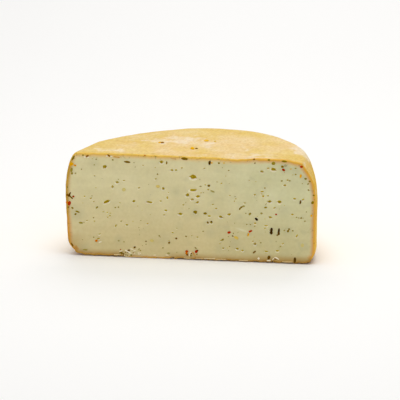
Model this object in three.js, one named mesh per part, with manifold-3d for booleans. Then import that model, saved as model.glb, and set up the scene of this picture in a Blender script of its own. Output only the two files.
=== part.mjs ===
// Half a wheel of semi-hard goat cheese with herbs, lying on its base with the cut towards -Y.
// Millimetres, +Z up, +X along the cut. The origin is under the middle of the half wheel's box.
// The wheel is turned, pressed a little out of true, cut through its axis, and its eyes are opened.
import * as THREE from 'three';
import { mergeVertices } from 'three/addons/utils/BufferGeometryUtils.js';
import Module from 'manifold-3d';

// The whole wheel
const CUT_LENGTH = 241; // along the cut, from rind to rind
const HEIGHT = 101.8;
const SWELL = 5.5; // half of how much the wheel's plan is longer one way than the other
const SWELL_ANGLE = THREE.MathUtils.degToRad(60); // from the right end of the cut round to the long way
const ROUND_STEPS = 112; // facets round the whole wheel
const CURVE_STEPS = 9; // facets across one rounded edge

// How the side is rounded at the two ends of the cut; between them it changes evenly
const RIGHT_END = { shoulderWidth: 14, shoulderHeight: 44, taper: 0.2, edgeWidth: 10, edgeHeight: 14 };
const LEFT_END = { shoulderWidth: 11, shoulderHeight: 44, taper: 2, edgeWidth: 16, edgeHeight: 17 };

// Where the flat base and the flat top have rings of points, as parts of the flat's own radius
const BASE_RINGS = [0, 0.3, 0.55, 0.75, 0.9];
const TOP_RINGS = [0, 0.2, 0.34, 0.46, 0.58, 0.7, 0.82, 0.93];

// The top is wavy along the cut, and it rises towards the back on the right
const TOP_WAVE = {
  height: 1,
  length: 180,
  crest: -68,
  along: { from: 95, to: 45 },
  inward: { from: 95, to: 15 },
};
const BACK_RISE = {
  height: 2.1,
  left: { from: -70, to: 10 },
  right: { from: 105, to: 50 },
  inward: { from: 20, to: 100 },
};

// The base is hollow along the cut, on both sides of the stretch that it rests on there
const CUT_BASE = 0.8; // height of the cut's lower edge on the right, from which holes in the cut are measured
const BASE_HOLLOWS = [
  { height: 1, along: { from: -62, to: -72 } },
  { height: CUT_BASE, along: { from: -30, to: -10 } },
];
const HOLLOW_INWARD = { from: 50, to: 10 };

// Where the knife dragged the top's rim down: place along the cut, depth below the flat top, depth and reach
const RIM_DIPS = [
  { x: 44, below: 0, depth: 1.1, reach: 17 },
  { x: 107.5, below: 1.5, depth: 2.1, reach: 17 },
];

// Breaks that the knife tore in the edge of the base, sized as the eyes are
const TORN_BREAKS = [
  { x: -62.5, z: -0.4, length: 8, width: 3, tilt: 10 },
  { x: -31, z: -0.6, length: 3.4, width: 1.8, tilt: 0 },
  { x: -17, z: 0, length: 5, width: 2.4, tilt: 20 },
  { x: -4, z: 0, length: 3.4, width: 1.8, tilt: -10 },
  { x: 31, z: 0.2, length: 3.2, width: 1.8, tilt: 0 },
];

// Eyes that stand out in the cut: place from the axis and the cut's base, length, width, tilt in degrees
const LARGE_EYES = [
  { x: 3.5, z: 81.5, length: 7.4, width: 4.4, tilt: 0 },
  { x: 3.5, z: 68.5, length: 7, width: 2.6, tilt: 2 },
  { x: -2, z: 63.5, length: 4.8, width: 3.2, tilt: -12 },
  { x: 8, z: 62.5, length: 4.4, width: 3.2, tilt: 10 },
  { x: 2.5, z: 59, length: 4.2, width: 2.2, tilt: 0 },
  { x: 7.5, z: 56.5, length: 3.6, width: 2.2, tilt: 15 },
  { x: -9, z: 44.5, length: 5.2, width: 2.6, tilt: 4 },
  { x: -80.5, z: 54, length: 8, width: 3, tilt: 25 },
  { x: -82, z: 88.5, length: 5, width: 3, tilt: 30 },
  { x: -70, z: 73.5, length: 4.4, width: 2.4, tilt: 5 },
  { x: -74.5, z: 69, length: 4.2, width: 2.2, tilt: 80 },
  { x: -54, z: 55.5, length: 3.6, width: 2.2, tilt: 8 },
  { x: -39, z: 55, length: 7.2, width: 2.2, tilt: -3 },
  { x: -27, z: 95, length: 4.2, width: 3, tilt: 0 },
  { x: -25.5, z: 69, length: 3, width: 2.8, tilt: 0 },
  { x: -17, z: 87.5, length: 4.2, width: 2, tilt: -5 },
  { x: 30, z: 43, length: 4.8, width: 2.4, tilt: 0 },
  { x: 38, z: 46, length: 4.4, width: 2.4, tilt: 12 },
  { x: 17.5, z: 37, length: 2.6, width: 2.6, tilt: 0 },
  { x: 21, z: 37.5, length: 3, width: 2.8, tilt: 0 },
  { x: 69, z: 89, length: 4.2, width: 2.2, tilt: 0 },
  { x: 80, z: 91.5, length: 5.8, width: 3.2, tilt: -6 },
  { x: 76.5, z: 60, length: 4.4, width: 2.8, tilt: 6 },
  { x: 86, z: 60, length: 4.2, width: 3.2, tilt: 0 },
  { x: 77.5, z: 44.5, length: 4.4, width: 2, tilt: -20 },
  { x: 91, z: 76.5, length: 4.4, width: 2, tilt: 4 },
  { x: 63, z: 17.5, length: 2.8, width: 2.6, tilt: 0 },
  { x: 46, z: 12, length: 3.8, width: 2.2, tilt: 0 },
];
const EYE_DEPTH = 0.75; // of an eye's width
const EYE_WOBBLE = 0.16; // how far an eye is from a smooth oval
const LARGE_EYE_DETAIL = 2;
const SMALL_EYE_DETAIL = 1;

// Small eyes between them, spread evenly by steps of irrational numbers
const SMALL_EYES = 30;
const SMALL_EYE_LENGTH = { least: 1.6, most: 3 };
const SMALL_EYE_FLATNESS = 0.6;
const SMALL_EYE_TILT = 40;
const SPREAD = { alongX: 0.7548777, alongZ: 0.569841, bySize: 0.618034 };
const SMALL_EYE_FIELD = { left: -104, right: 104, bottom: 12, top: 92 };
const EYE_SPACING = 4; // clear distance kept between the middles of small eyes and the edges of large ones

const PASTE_COLOUR = 0xcfc59c;
const PASTE_ROUGHNESS = 0.5;

const { clamp, lerp, degToRad } = THREE.MathUtils;

// Plan radius of the wheel; the swell is nothing at both ends of the cut
function planRadius(angle) {
  const swell = Math.cos(2 * (angle - SWELL_ANGLE)) - Math.cos(2 * SWELL_ANGLE);
  return CUT_LENGTH / 2 + SWELL * swell;
}

// Rounding of the side at an angle round the wheel, between the right end's and the left end's
function endRounding(angle) {
  const share = (1 - Math.cos(angle)) / 2;
  const rounding = {};
  for (const size of Object.keys(RIGHT_END)) {
    rounding[size] = lerp(RIGHT_END[size], LEFT_END[size], share);
  }
  return rounding;
}

// How far an oval edge has drawn in at a share of the way up it
function ovalInset(share) {
  return 1 - Math.sqrt(1 - clamp(share, 0, 1) ** 2);
}

// How far the side stands in from the plan radius at a height
function sideInset(height, rounding) {
  const shoulderStart = HEIGHT - rounding.shoulderHeight;
  const shoulder = rounding.shoulderWidth * ovalInset((height - shoulderStart) / rounding.shoulderHeight);
  const edge = rounding.edgeWidth * ovalInset((rounding.edgeHeight - height) / rounding.edgeHeight);
  const taper = rounding.taper * clamp((shoulderStart - height) / shoulderStart, 0, 1);
  return shoulder + edge + taper;
}

// Profile of the side from the base's rim up to the top's rim, as radius and height
function sideProfile(angle) {
  const rounding = endRounding(angle);
  const shoulderStart = HEIGHT - rounding.shoulderHeight;
  const heights = [];
  for (let step = 0; step <= CURVE_STEPS; step += 1) {
    heights.push(rounding.edgeHeight * (1 - Math.cos(((step / CURVE_STEPS) * Math.PI) / 2)));
  }
  heights.push((rounding.edgeHeight + shoulderStart) / 2);
  for (let step = 0; step <= CURVE_STEPS; step += 1) {
    heights.push(shoulderStart + rounding.shoulderHeight * Math.sin(((step / CURVE_STEPS) * Math.PI) / 2));
  }
  const radius = planRadius(angle);
  return heights.map((height) => new THREE.Vector2(radius - sideInset(height, rounding), height));
}

// Whole profile at an angle: out along the base, up the side and back along the top to the axis
function wheelProfile(angle) {
  const side = sideProfile(angle);
  const base = BASE_RINGS.map((part) => new THREE.Vector2(part * side[0].x, 0));
  const top = TOP_RINGS.map((part) => new THREE.Vector2(part * side.at(-1).x, HEIGHT)).reverse();
  return [...base, ...side, ...top];
}

// Eased share of the way from one value to another, which may be the smaller one
function ramp(value, { from, to }) {
  const share = clamp((value - from) / (to - from), 0, 1);
  return share * share * (3 - 2 * share);
}

// Rise of the uneven top at a place in plan
function topRise(x, y) {
  const crest = Math.cos(((x - TOP_WAVE.crest) / TOP_WAVE.length) * 2 * Math.PI);
  const wave = TOP_WAVE.height * crest * ramp(x, TOP_WAVE.along) * ramp(y, TOP_WAVE.inward);
  const { height, left, right, inward } = BACK_RISE;
  return wave + height * ramp(x, left) * ramp(x, right) * ramp(y, inward);
}

// Rise of the hollows in the base
function baseRise(x, y) {
  const heights = BASE_HOLLOWS.map(({ height, along }) => height * ramp(x, along));
  return Math.max(...heights) * ramp(y, HOLLOW_INWARD);
}

// How far the rind is pressed in by the knife at a point
function rimDip(x, y, z) {
  let depth = 0;
  for (const dip of RIM_DIPS) {
    const away = Math.hypot(x - dip.x, y, z - (HEIGHT - dip.below));
    depth += dip.depth * ramp(away, { from: dip.reach, to: 0 });
  }
  return depth;
}

// Direction out of the wheel at a point of its profile, as radius and height
function outwardAt(profile, row) {
  const before = profile[Math.max(row - 1, 0)];
  const after = profile[Math.min(row + 1, profile.length - 1)];
  return new THREE.Vector2(after.y - before.y, before.x - after.x).normalize();
}

// A lathe of the profile, with each point then moved to the profile of its own angle, its rise and its dip
function wheelGeometry() {
  const firstProfile = wheelProfile(0);
  const turned = new THREE.LatheGeometry(firstProfile, ROUND_STEPS);
  const rows = firstProfile.length;
  const places = turned.attributes.position;
  for (let column = 0; column <= ROUND_STEPS; column += 1) {
    const angle = (column / ROUND_STEPS) * 2 * Math.PI;
    const profile = wheelProfile(angle);
    for (let row = 0; row < rows; row += 1) {
      const flat = profile[row];
      const x = flat.x * Math.cos(angle);
      const y = flat.x * Math.sin(angle);
      const dip = rimDip(x, y, flat.y);
      const { x: radius, y: height } = flat.clone().addScaledVector(outwardAt(profile, row), -dip);
      const rise = lerp(baseRise(x, y), topRise(x, y), flat.y / HEIGHT);
      places.setXYZ(column * rows + row, radius * Math.cos(angle), radius * Math.sin(angle), height + rise);
    }
  }
  return turned;
}

// One eye as a lumpy oval whose middle is on the cut plane
function eyeGeometry({ x, z, length, width, tilt }, detail) {
  const eye = new THREE.IcosahedronGeometry(1, detail);
  const places = eye.attributes.position;
  const point = new THREE.Vector3();
  for (let index = 0; index < places.count; index += 1) {
    point.fromBufferAttribute(places, index);
    const lumps = Math.sin(3 * point.x + x) * Math.cos(4 * point.z + z) + Math.sin(2 * point.z - x);
    point.multiplyScalar(1 + (EYE_WOBBLE * lumps) / 2);
    places.setXYZ(index, point.x, point.y, point.z);
  }
  eye.scale(length / 2, EYE_DEPTH * width, width / 2);
  eye.rotateY(-degToRad(tilt));
  eye.translate(x, 0, CUT_BASE + z);
  return eye;
}

// Step number i of an even spread between two limits
function spread(i, step, least, most) {
  return lerp(least, most, (i * step) % 1);
}

// Small eyes that keep clear of the large ones
function smallEyes() {
  const field = SMALL_EYE_FIELD;
  const eyes = [];
  for (let i = 1; eyes.length < SMALL_EYES; i += 1) {
    const x = spread(i, SPREAD.alongX, field.left, field.right);
    const z = spread(i, SPREAD.alongZ, field.bottom, field.top);
    const length = spread(i, SPREAD.bySize, SMALL_EYE_LENGTH.least, SMALL_EYE_LENGTH.most);
    const tilt = spread(i, SPREAD.bySize, -SMALL_EYE_TILT, SMALL_EYE_TILT);
    const clear = LARGE_EYES.every((eye) => Math.hypot(eye.x - x, eye.z - z) > eye.length / 2 + EYE_SPACING);
    if (clear) {
      eyes.push({ x, z, length, width: length * SMALL_EYE_FLATNESS, tilt });
    }
  }
  return eyes;
}

const wasm = await Module();
wasm.setup();

function solidFrom(geometry) {
  geometry.deleteAttribute('normal');
  geometry.deleteAttribute('uv');
  const merged = mergeVertices(geometry);
  const vertProperties = merged.attributes.position.array;
  const triVerts = new Uint32Array(merged.index.array);
  return new wasm.Manifold(new wasm.Mesh({ numProp: 3, vertProperties, triVerts }));
}

function geometryFrom(solid) {
  const { vertProperties, triVerts } = solid.getMesh();
  const geometry = new THREE.BufferGeometry();
  geometry.setAttribute('position', new THREE.BufferAttribute(vertProperties, 3));
  geometry.setIndex(new THREE.BufferAttribute(triVerts, 1));
  geometry.computeVertexNormals();
  return geometry;
}

// The half in front of the axis, which is cut away
function frontHalf() {
  const reach = CUT_LENGTH * 2;
  return solidFrom(new THREE.BoxGeometry(reach, reach, reach).translate(0, -reach / 2, 0));
}

function cheeseHalf() {
  let half = solidFrom(wheelGeometry()).subtract(frontHalf());
  for (const hole of [...LARGE_EYES, ...TORN_BREAKS]) {
    half = half.subtract(solidFrom(eyeGeometry(hole, LARGE_EYE_DETAIL)));
  }
  for (const eye of smallEyes()) {
    half = half.subtract(solidFrom(eyeGeometry(eye, SMALL_EYE_DETAIL)));
  }
  const material = new THREE.MeshStandardMaterial({
    color: PASTE_COLOUR,
    roughness: PASTE_ROUGHNESS,
    metalness: 0,
  });
  const mesh = new THREE.Mesh(geometryFrom(half), material);
  mesh.name = 'cheese_half';
  mesh.geometry.computeBoundingBox();
  const box = mesh.geometry.boundingBox;
  const middle = box.getCenter(new THREE.Vector3());
  mesh.position.set(-middle.x, -middle.y, -box.min.z);
  return mesh;
}

const cheese = new THREE.Group();
cheese.add(cheeseHalf());

export default cheese;
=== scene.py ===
import math

import bpy
import numpy as np
from mathutils import Matrix, Vector, noise
from mathutils.geometry import delaunay_2d_cdt


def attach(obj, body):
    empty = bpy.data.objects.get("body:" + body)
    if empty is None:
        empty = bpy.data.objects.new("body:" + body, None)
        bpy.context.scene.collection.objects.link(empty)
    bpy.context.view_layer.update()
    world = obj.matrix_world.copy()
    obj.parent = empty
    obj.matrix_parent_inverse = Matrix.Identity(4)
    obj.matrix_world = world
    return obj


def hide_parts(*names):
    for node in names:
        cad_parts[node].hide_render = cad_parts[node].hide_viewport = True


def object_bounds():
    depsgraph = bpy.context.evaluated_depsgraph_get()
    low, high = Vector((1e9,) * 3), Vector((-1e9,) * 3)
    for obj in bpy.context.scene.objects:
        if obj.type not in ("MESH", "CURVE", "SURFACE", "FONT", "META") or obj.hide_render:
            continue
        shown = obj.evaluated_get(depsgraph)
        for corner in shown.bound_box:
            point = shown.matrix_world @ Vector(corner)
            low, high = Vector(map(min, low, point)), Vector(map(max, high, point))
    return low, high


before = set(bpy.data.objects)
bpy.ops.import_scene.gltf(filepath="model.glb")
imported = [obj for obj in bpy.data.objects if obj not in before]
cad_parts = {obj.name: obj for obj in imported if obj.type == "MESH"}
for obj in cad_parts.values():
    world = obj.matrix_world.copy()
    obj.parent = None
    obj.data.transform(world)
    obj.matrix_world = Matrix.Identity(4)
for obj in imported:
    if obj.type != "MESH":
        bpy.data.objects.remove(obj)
cadLow, cadHigh = [list(corner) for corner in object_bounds()]
scene = bpy.context.scene
mm = 0.001


# Shared helpers

def linear(hexColour):
    channels = [int(hexColour[i:i + 2], 16) / 255 for i in (1, 3, 5)]
    return [c / 12.92 if c <= 0.04045 else ((c + 0.055) / 1.055) ** 2.4 for c in channels] + [1.0]


def addNode(tree, kind, settings=None, inputs=None, stops=None):
    node = tree.nodes.new(kind)
    for name, value in (settings or {}).items():
        setattr(node, name, value)
    for name, value in (inputs or {}).items():
        if isinstance(value, bpy.types.Node):  # a node stands for the output it has in use
            value = next(socket for socket in value.outputs if socket.enabled)
        if isinstance(value, bpy.types.NodeSocket):
            tree.links.new(value, node.inputs[name])
        else:
            node.inputs[name].default_value = value
    if stops:  # a ramp's places and colours
        ramp = node.color_ramp.elements
        while len(ramp) < len(stops):
            ramp.new(1.0)
        for element, (place, colour) in zip(ramp, stops):
            element.position = place
            element.color = linear(colour)
    return node


def addInputs(tree, inputs):
    # named inputs of a geometry tree, given back as socket identifiers by name
    found = {}
    for name, kind in inputs.items():
        socket = tree.interface.new_socket(name, in_out="INPUT", socket_type="NodeSocket" + kind)
        found[name] = socket.identifier
    tree.interface.new_socket("Geometry", in_out="OUTPUT", socket_type="NodeSocketGeometry")
    return found


def useTree(piece, tree, sockets, values):
    maker = piece.modifiers.new(tree.name, "NODES")
    maker.node_group = tree
    for name, value in values.items():
        maker[sockets[name]] = value


def settle(piece):
    # the modifiers' result becomes the piece's own mesh
    graph = bpy.context.evaluated_depsgraph_get()
    shown = piece.evaluated_get(graph)
    mesh = bpy.data.meshes.new_from_object(shown, preserve_all_data_layers=True, depsgraph=graph)
    piece.modifiers.clear()
    old = piece.data
    piece.data = mesh
    bpy.data.meshes.remove(old)
    mesh.name = piece.name
    mesh.polygons.foreach_set("use_smooth", [True] * len(mesh.polygons))
    return piece


def newPiece(name, points, edges, faces):
    # points are in metres, in the frame
    mesh = bpy.data.meshes.new(name)
    mesh.from_pydata(np.asarray(points).tolist(), edges, faces)
    mesh.update()
    piece = bpy.data.objects.new(name, mesh)
    scene.collection.objects.link(piece)
    return piece


def pointsOf(mesh):
    places = np.empty(len(mesh.vertices) * 3)
    mesh.vertices.foreach_get("co", places)
    return places.reshape(-1, 3)


def storeOnPoints(mesh, name, values, kind="FLOAT", field="value"):
    mesh.attributes.new(name, kind, "POINT").data.foreach_set(field, values)


def smooth(value, ends):
    share = np.clip((value - ends[0]) / (ends[1] - ends[0]), 0, 1)
    return share * share * (3 - 2 * share)


def between(ends, unit=mm):
    # the two ends of a Map Range; the first may be the larger one
    return {"From Min": ends[0] * unit, "From Max": ends[1] * unit}


def grained(where, size, detail):
    # a noise with grains of this size, in mm
    return {"Vector": where, "Scale": 1 / (size * mm), "Detail": detail}


# settings that many nodes share
plus, minus, times, over, timesPlus = [
    {"operation": name} for name in ("ADD", "SUBTRACT", "MULTIPLY", "DIVIDE", "MULTIPLY_ADD")]
eased = {"interpolation_type": "SMOOTHSTEP"}
vectors = {"data_type": "FLOAT_VECTOR"}
colours = {"data_type": "RGBA"}
multiplied = {"data_type": "RGBA", "blend_type": "MULTIPLY"}


def patchAround(tree, where, middle, reach, most):
    # most in the middle, which is in metres, and nothing from this reach on, in mm
    away = addNode(tree, "ShaderNodeVectorMath", {"operation": "DISTANCE"}, {0: where, 1: tuple(middle)})
    return addNode(tree, "ShaderNodeMapRange", eased, {
        "Value": away.outputs["Value"], **between((reach, 0)), "To Max": most})


# The half wheel, in mm from the wheel's axis on its base, with the cut on y = 0

wheel = {
    "cutLength": 241,
    "height": 101.8,
    "swell": 5.5,  # how far the plan is out of round
    "swellAngle": 60,  # degrees from the right end of the cut to the long way
    "rightEnd": {"shoulderWidth": 14, "shoulderHeight": 44, "taper": 0.2, "edgeWidth": 10, "edgeHeight": 14},
    "leftEnd": {"shoulderWidth": 11, "shoulderHeight": 44, "taper": 2, "edgeWidth": 16, "edgeHeight": 17},
    "topWave": {
        "height": 0.45, "lift": 0.55, "length": 180, "crest": -68, "along": (100, 85), "inward": (95, 15),
    },
    "backRise": {"height": 2.1, "left": (-70, 10), "right": (105, 50), "inward": (20, 100)},
    "baseHollows": [(1, (-62, -72)), (0.8, (-30, -10))],  # height, and where it grows along the cut
    "hollowInward": (50, 10),
    "cutBase": 0.8,  # height of the cut's lower edge on the right: places in the cut are counted from it
    "dips": [  # place, depth, reach: three where the knife dragged the rim down, two in sagging shoulders
        ((44, 0, 101.8), 1.1, 17), ((109, 0, 97.8), 2.5, 18), ((113, 0, 91.5), 1.8, 19),
        ((-109, 24, 99), 1.3, 32), ((108, 28, 95), 1.0, 26),
    ],
    "relief": {"Dents": (42, 0.7), "Ripples": (11, 0.3), "Pimples": (4.5, 0.14)},  # size and depth of each
    "baseCrinkles": {"size": 5.5, "depth": 2.4, "up": (12, 5), "inward": (16, 2)},  # along the cut's edges
    "rimCrinkles": {"size": 6, "depth": 0.8, "up": (92, 99), "inward": (10, 1)},
    "seed": 7.3,
    "roundSteps": 210,
    "flatSteps": 66,
    "edgeSteps": 18,
    "sideSteps": 20,
    "shoulderSteps": 30,
}
axisPlace = np.array([cadLow[0] / mm + wheel["cutLength"] / 2, cadLow[1] / mm, 0])


def inFrame(points):
    return (np.asarray(points, dtype=float) + axisPlace) * mm


def fromAxis(points):
    return np.asarray(points) / mm - axisPlace


def ovalInset(share):
    return 1 - np.sqrt(1 - np.clip(share, 0, 1) ** 2)


def endProfile(end):
    # out along the base, up the side and back along the top to the axis, as radius and height
    shoulderStart = wheel["height"] - end["shoulderHeight"]
    edge = end["edgeHeight"] * (1 - np.cos(np.linspace(0, math.pi / 2, wheel["edgeSteps"] + 1)[:-1]))
    side = np.linspace(end["edgeHeight"], shoulderStart, wheel["sideSteps"] + 1)[:-1]
    quarter = np.linspace(0, math.pi / 2, wheel["shoulderSteps"] + 1)
    height = np.concatenate([edge, side, shoulderStart + end["shoulderHeight"] * np.sin(quarter)])
    inset = end["shoulderWidth"] * ovalInset((height - shoulderStart) / end["shoulderHeight"])
    inset += end["edgeWidth"] * ovalInset((end["edgeHeight"] - height) / end["edgeHeight"])
    inset += end["taper"] * np.clip((shoulderStart - height) / shoulderStart, 0, 1)
    radius = wheel["cutLength"] / 2 - inset
    flat = np.linspace(0, 1, wheel["flatSteps"] + 1)[:-1]
    radius = np.concatenate([radius[0] * flat, radius, radius[-1] * flat[::-1]])
    height = np.concatenate([0 * flat, height, 0 * flat + wheel["height"]])
    return np.column_stack([radius, 0 * radius, height])


def turnedRindTree():
    # turns one end's profile round to the other's, presses it out of true and adds the rind's relief
    tree = bpy.data.node_groups.new("turned rind", "GeometryNodeTree")
    sizes = ["Cut Length", "Height", "Swell", "Swell Angle", "Top Wave", "Top Lift", "Back Rise"]
    sizes += ["Base Crinkles", "Rim Crinkles", "Seed"] + list(wheel["relief"])
    sockets = addInputs(tree, {
        "Profile": "Geometry", "Rows": "Int", "Round Steps": "Int", "Material": "Material",
        **{name: "Float" for name in sizes}})
    start = addNode(tree, "NodeGroupInput").outputs

    # the grid's columns go round from the right end, its rows follow the profile
    columns = addNode(tree, "ShaderNodeMath", plus, {0: start["Round Steps"], 1: 1})
    grid = addNode(tree, "GeometryNodeMeshGrid", None, {"Vertices X": columns, "Vertices Y": start["Rows"]})
    index = addNode(tree, "GeometryNodeInputIndex")
    row = addNode(tree, "ShaderNodeMath", {"operation": "MODULO"}, {0: index, 1: start["Rows"]})
    ratio = addNode(tree, "ShaderNodeMath", over, {0: index, 1: start["Rows"]})
    column = addNode(tree, "ShaderNodeMath", {"operation": "FLOOR"}, {0: ratio})
    turn = addNode(tree, "ShaderNodeMath", over, {0: column, 1: start["Round Steps"]})
    angle = addNode(tree, "ShaderNodeMath", times, {0: turn, 1: math.pi})
    cosine = addNode(tree, "ShaderNodeMath", {"operation": "COSINE"}, {0: angle})
    sine = addNode(tree, "ShaderNodeMath", {"operation": "SINE"}, {0: angle})

    here = addNode(tree, "GeometryNodeInputPosition")
    leftEnd = addNode(tree, "GeometryNodeInputNamedAttribute", vectors, {"Name": "leftEnd"})
    rightPlace = addNode(tree, "GeometryNodeSampleIndex", vectors, {
        "Geometry": start["Profile"], "Value": here, "Index": row})
    leftPlace = addNode(tree, "GeometryNodeSampleIndex", vectors, {
        "Geometry": start["Profile"], "Value": leftEnd.outputs["Attribute"], "Index": row})
    leftShare = addNode(tree, "ShaderNodeMath", timesPlus, {0: cosine, 1: -0.5, 2: 0.5})
    place = addNode(tree, "ShaderNodeMix", {"data_type": "VECTOR"}, {
        0: leftShare, 4: rightPlace, 5: leftPlace})
    profile = addNode(tree, "ShaderNodeSeparateXYZ", None, {"Vector": place}).outputs

    # the plan swells one way, and not at all at the two ends of the cut
    away = addNode(tree, "ShaderNodeMath", minus, {0: angle, 1: start["Swell Angle"]})
    twice = addNode(tree, "ShaderNodeMath", times, {0: away, 1: 2})
    swelling = addNode(tree, "ShaderNodeMath", {"operation": "COSINE"}, {0: twice})
    endTwice = addNode(tree, "ShaderNodeMath", times, {0: start["Swell Angle"], 1: 2})
    atEnds = addNode(tree, "ShaderNodeMath", {"operation": "COSINE"}, {0: endTwice})
    growth = addNode(tree, "ShaderNodeMath", minus, {0: swelling, 1: atEnds})
    halfCut = addNode(tree, "ShaderNodeMath", times, {0: start["Cut Length"], 1: 0.5})
    swellShare = addNode(tree, "ShaderNodeMath", over, {0: start["Swell"], 1: halfCut})
    scale = addNode(tree, "ShaderNodeMath", timesPlus, {0: growth, 1: swellShare, 2: 1})
    radius = addNode(tree, "ShaderNodeMath", times, {0: profile["X"], 1: scale})
    x = addNode(tree, "ShaderNodeMath", times, {0: radius, 1: cosine})
    y = addNode(tree, "ShaderNodeMath", times, {0: radius, 1: sine})

    # the top's wave along the cut and its rise at the back
    wave, back = wheel["topWave"], wheel["backRise"]
    wavePlace = addNode(tree, "ShaderNodeMath", minus, {0: x, 1: wave["crest"] * mm})
    waveTurn = addNode(tree, "ShaderNodeMath", times, {0: wavePlace, 1: 2 * math.pi / (wave["length"] * mm)})
    crest = addNode(tree, "ShaderNodeMath", {"operation": "COSINE"}, {0: waveTurn})
    waved = addNode(tree, "ShaderNodeMath", timesPlus, {0: crest, 1: start["Top Wave"], 2: start["Top Lift"]})
    waveAlong = addNode(tree, "ShaderNodeMapRange", eased, {"Value": x, **between(wave["along"])})
    waveShare = addNode(tree, "ShaderNodeMapRange", eased, {
        "Value": y, **between(wave["inward"]), "To Max": waveAlong})
    backRise = start["Back Rise"]
    for place, ends in ((x, back["left"]), (x, back["right"]), (y, back["inward"])):
        backRise = addNode(tree, "ShaderNodeMapRange", eased, {
            "Value": place, **between(ends), "To Max": backRise})
    topRise = addNode(tree, "ShaderNodeMath", timesPlus, {0: waved, 1: waveShare, 2: backRise})

    # the base's hollows under the cut
    hollow = 0.0
    for height, along in wheel["baseHollows"]:
        part = addNode(tree, "ShaderNodeMapRange", eased, {
            "Value": x, **between(along), "To Max": height * mm})
        hollow = addNode(tree, "ShaderNodeMath", {"operation": "MAXIMUM"}, {0: hollow, 1: part})
    baseRise = addNode(tree, "ShaderNodeMapRange", eased, {
        "Value": y, **between(wheel["hollowInward"]), "To Max": hollow})
    heightShare = addNode(tree, "ShaderNodeMath", over, {0: profile["Z"], 1: start["Height"]})
    rise = addNode(tree, "ShaderNodeMix", {"data_type": "FLOAT"}, {0: heightShare, 2: baseRise, 3: topRise})
    z = addNode(tree, "ShaderNodeMath", plus, {0: profile["Z"], 1: rise})
    turned = addNode(tree, "ShaderNodeCombineXYZ", None, {"X": x, "Y": y, "Z": z})
    shell = addNode(tree, "GeometryNodeSetPosition", None, {
        "Geometry": grid.outputs["Mesh"], "Position": turned})

    # dips in the rim and the shoulders
    relief = 0.0
    for place, depth, reach in wheel["dips"]:
        dip = patchAround(tree, turned, [part * mm for part in place], reach, -depth * mm)
        relief = addNode(tree, "ShaderNodeMath", plus, {0: relief, 1: dip})

    # relief, layer by layer: all over the rind, then along the cut's lower and upper edge
    layers = [(size, start[name]) for name, (size, _) in wheel["relief"].items()]
    for name, edge in (("Base Crinkles", wheel["baseCrinkles"]), ("Rim Crinkles", wheel["rimCrinkles"])):
        near = addNode(tree, "ShaderNodeMapRange", eased, {
            "Value": z, **between(edge["up"]), "To Max": start[name]})
        depth = addNode(tree, "ShaderNodeMapRange", eased, {
            "Value": y, **between(edge["inward"]), "To Max": near})
        layers.append((edge["size"], depth))
    for i, (size, depth) in enumerate(layers):
        seed = addNode(tree, "ShaderNodeMath", times, {0: start["Seed"], 1: i + 1})
        layer = addNode(tree, "ShaderNodeTexNoise", {"noise_dimensions": "4D"}, {
            "Vector": turned, "W": seed, "Scale": 1 / (size * mm), "Detail": 1})
        level = addNode(tree, "ShaderNodeMath", timesPlus, {0: layer.outputs["Fac"], 1: 2, 2: -1})
        relief = addNode(tree, "ShaderNodeMath", timesPlus, {0: level, 1: depth, 2: relief})
    outward = addNode(tree, "GeometryNodeInputNormal")
    push = addNode(tree, "ShaderNodeVectorMath", {"operation": "SCALE"}, {0: outward, "Scale": relief})
    worn = addNode(tree, "GeometryNodeSetPosition", None, {"Geometry": shell, "Offset": push})

    # nothing goes below what the cheese lies on
    parts = addNode(tree, "ShaderNodeSeparateXYZ", None, {"Vector": here}).outputs
    lifted = addNode(tree, "ShaderNodeMath", {"operation": "MAXIMUM"}, {0: parts["Z"], 1: 0})
    kept = addNode(tree, "ShaderNodeCombineXYZ", None, {"X": parts["X"], "Y": parts["Y"], "Z": lifted})
    resting = addNode(tree, "GeometryNodeSetPosition", None, {"Geometry": worn, "Position": kept})
    real = addNode(tree, "GeometryNodeRealizeInstances", None, {"Geometry": resting})
    dressed = addNode(tree, "GeometryNodeSetMaterial", None, {
        "Geometry": real, "Material": start["Material"]})
    addNode(tree, "NodeGroupOutput", None, {"Geometry": dressed})
    return tree, sockets


def turnRind(material):
    # the rind as columns of points, in mm from the axis
    right, left = endProfile(wheel["rightEnd"]), endProfile(wheel["leftEnd"])
    rows = len(right)
    shell = newPiece("rind_shell", right * mm, [(i, i + 1) for i in range(rows - 1)], [])
    storeOnPoints(shell.data, "leftEnd", (left * mm).ravel(), "FLOAT_VECTOR", "vector")
    tree, sockets = turnedRindTree()
    useTree(shell, tree, sockets, {
        "Rows": rows, "Round Steps": wheel["roundSteps"], "Cut Length": wheel["cutLength"] * mm,
        "Height": wheel["height"] * mm, "Swell": wheel["swell"] * mm,
        "Swell Angle": math.radians(wheel["swellAngle"]),
        "Top Wave": wheel["topWave"]["height"] * mm, "Top Lift": wheel["topWave"]["lift"] * mm,
        "Back Rise": wheel["backRise"]["height"] * mm,
        "Base Crinkles": wheel["baseCrinkles"]["depth"] * mm,
        "Rim Crinkles": wheel["rimCrinkles"]["depth"] * mm, "Seed": wheel["seed"], "Material": material,
        **{name: depth * mm for name, (_, depth) in wheel["relief"].items()}})
    settle(shell)
    grid = pointsOf(shell.data).reshape(wheel["roundSteps"] + 1, rows, 3) / mm
    bpy.data.objects.remove(shell)
    grid[[0, -1], :, 1] = 0  # the cut's outline stays in the cut
    for pole in (0, -1):
        grid[:, pole] = (0, 0, grid[:, pole, 2].mean())
    # near the cut the rind is drawn back a little
    curl = [rindCurl(x, z) for x, z in grid[:, :, [0, 2]].reshape(-1, 2)]
    grid[:, :, 1] += np.reshape(curl, grid.shape[:2]) * smooth(grid[:, :, 1], (cutFace["curlBack"], 0))
    return grid


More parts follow.
